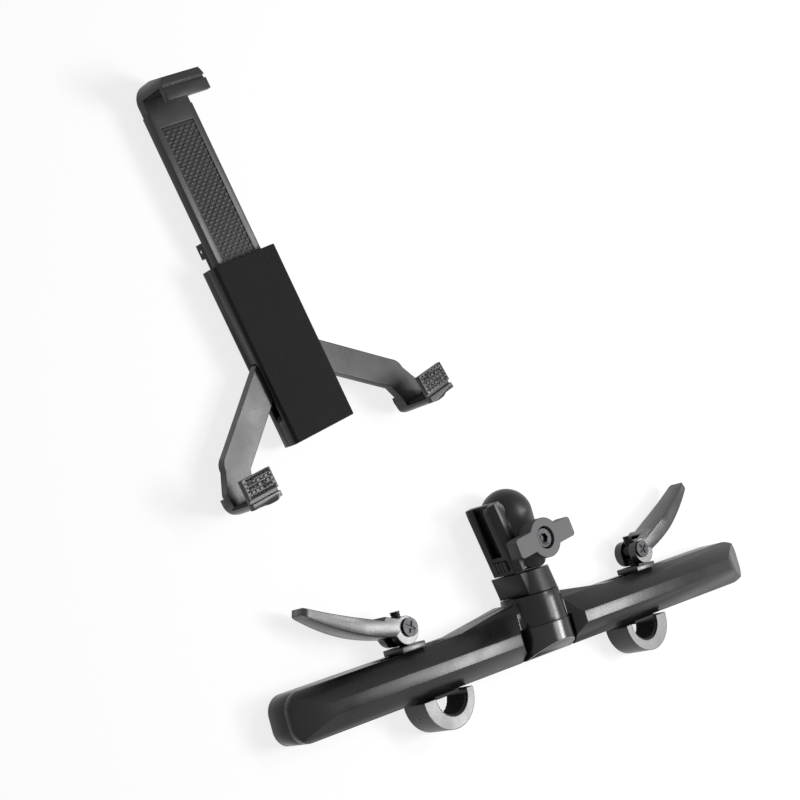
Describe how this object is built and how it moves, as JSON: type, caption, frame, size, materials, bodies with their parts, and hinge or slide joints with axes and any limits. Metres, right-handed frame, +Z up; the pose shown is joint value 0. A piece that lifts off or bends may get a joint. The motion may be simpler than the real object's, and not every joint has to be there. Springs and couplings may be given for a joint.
{
  "type": "headrest tablet holder",
  "caption": "Clamping crossbar with lever hooks and a tilting head, and the unclipped tablet cradle with a sliding claw arm and folding feet.",
  "frame": {"origin": "middle of the crossbar's flat back face, which lies on the floor", "axes": "+X along the bar, +Y from the seat posts towards the neck and levers, +Z up, parallel to the seat posts"},
  "size_m": [0.2683, 0.272, 0.03],
  "materials": {
    "shell_black": "satin moulded black, fine texture",
    "shell_gloss": "semi-gloss black band",
    "head_black": "satin black",
    "knob_grey": "dark grey, flat",
    "hook_black": "satin black",
    "lever_black": "semi-gloss black",
    "arm_grey": "satin dark grey",
    "leg_grey": "satin dark grey",
    "foam": "closed-cell foam, dull",
    "rubber_black": "soft black rubber",
    "steel": "plain steel",
    "spring_steel": "spring strip",
    "acetal": "natural white"
  },
  "bodies": {
    "base": {"bar_rear_shell": "shell_black", "bar_front_shell": "shell_black", "hub_band": "shell_gloss", "bar_screws": "steel", "thrust_ring": "acetal", "cradle_back": "shell_black", "cradle_front": "shell_black", "foam_pad": "foam", "cradle_screws": "steel", "leg_pins": "steel", "leg_washers": "acetal", "rocker_pin": "steel", "rocker_spring": "spring_steel"},
    "neck": {"neck": "head_black"},
    "head": {"head": "head_black", "clamp_nut": "steel", "latch_spring": "spring_steel"},
    "latch": {"dock_latch": "head_black"},
    "knob": {"wing_knob": "knob_grey", "clamp_screw": "steel", "knob_washer": "steel"},
    "rocker": {"release_rocker": "hook_black"},
    "arm": {"arm": "arm_grey", "claw_pad": "rubber_black"},
    "left_leg": {"left_leg_bar": "leg_grey", "left_foot_pad": "rubber_black"},
    "right_leg": {"right_leg_bar": "leg_grey", "right_foot_pad": "rubber_black"},
    "left_slide": {"left_carriage": "acetal", "left_post_pad": "rubber_black", "left_cam_plate": "hook_black"},
    "left_pivot": {"left_lever_pin": "steel"},
    "left_hook": {"left_hook": "hook_black", "left_liner": "rubber_black", "left_stem": "steel"},
    "left_lever": {"left_lever": "lever_black"},
    "right_slide": {"right_carriage": "acetal", "right_post_pad": "rubber_black", "right_cam_plate": "hook_black"},
    "right_pivot": {"right_lever_pin": "steel"},
    "right_hook": {"right_hook": "hook_black", "right_liner": "rubber_black", "right_stem": "steel"},
    "right_lever": {"right_lever": "lever_black"}
  },
  "joints": [
    {"name": "neck_swivel", "type": "hinge", "parent": "base", "child": "neck", "pos_m": [0, 0.011, 0.011], "axis": [0, 1, 0], "range_deg": [-180, 180]},
    {"name": "head_tilt", "type": "hinge", "parent": "neck", "child": "head", "pos_m": [0, 0.037, 0.011], "axis": [0, 0, 1], "range_deg": [-90, 0]},
    {"name": "knob_turn", "type": "hinge", "parent": "head", "child": "knob", "pos_m": [0, 0.037, 0.026], "axis": [0, 0, 1], "range_deg": [0, 360]},
    {"name": "latch_press", "type": "slide", "parent": "head", "child": "latch", "axis": [0.981, 0.1942, 0], "range_m": [0, 0.0007], "stiffness_N_per_m": 300, "springref_m": -0.0006, "deforming": ["latch_spring"]},
    {"name": "rocker_press", "type": "hinge", "parent": "base", "child": "rocker", "pos_m": [-0.09906, 0.18155, 0.0023], "axis": [0.9767, 0.2147, 0], "range_deg": [0, 10], "stiffness_Nm_per_rad": 0.02, "springref_deg": -11.46, "deforming": ["rocker_spring"]},
    {"name": "arm_slide", "type": "slide", "parent": "base", "child": "arm", "axis": [-0.2147, 0.9767, 0], "range_m": [-0.018, 0.01]},
    {"name": "left_leg_fold", "type": "hinge", "parent": "base", "child": "left_leg", "pos_m": [-0.09877, 0.12807, 0.0083], "axis": [0, 0, 1], "range_deg": [-7.5, 20]},
    {"name": "right_leg_fold", "type": "hinge", "parent": "base", "child": "right_leg", "pos_m": [-0.07689, 0.13287, 0.0083], "axis": [0, 0, 1], "range_deg": [-26, 1.5]},
    {"name": "left_hook_shift", "type": "slide", "parent": "base", "child": "left_slide", "axis": [1, 0, 0], "range_m": [-0.012, 0.012]},
    {"name": "left_cam_draw", "type": "slide", "parent": "left_slide", "child": "left_pivot", "axis": [0, 1, 0], "range_m": [-0.00188, 0.00047]},
    {"name": "left_lever_turn", "type": "hinge", "parent": "left_pivot", "child": "left_lever", "pos_m": [-0.0699, 0.01894, 0.0086], "axis": [0, 0, 1], "range_deg": [-80, 20]},
    {"name": "left_hook_set", "type": "slide", "parent": "left_pivot", "child": "left_hook", "axis": [0, 1, 0], "range_m": [-0.006, 0]},
    {"name": "right_hook_shift", "type": "slide", "parent": "base", "child": "right_slide", "axis": [1, 0, 0], "range_m": [-0.012, 0.012]},
    {"name": "right_cam_draw", "type": "slide", "parent": "right_slide", "child": "right_pivot", "axis": [0, 1, 0], "range_m": [-0.00176, 0.00058]},
    {"name": "right_lever_turn", "type": "hinge", "parent": "right_pivot", "child": "right_lever", "pos_m": [0.0699, 0.01894, 0.0086], "axis": [0, 0, 1], "range_deg": [-25, 75]},
    {"name": "right_hook_set", "type": "slide", "parent": "right_pivot", "child": "right_hook", "axis": [0, 1, 0], "range_m": [-0.006, 0]}
  ],
  "couplings": [
    {"joint": "left_lever_turn", "follows": "left_cam_draw", "rad_per_m": 740.74},
    {"joint": "right_lever_turn", "follows": "right_cam_draw", "rad_per_m": -740.74}
  ]
}
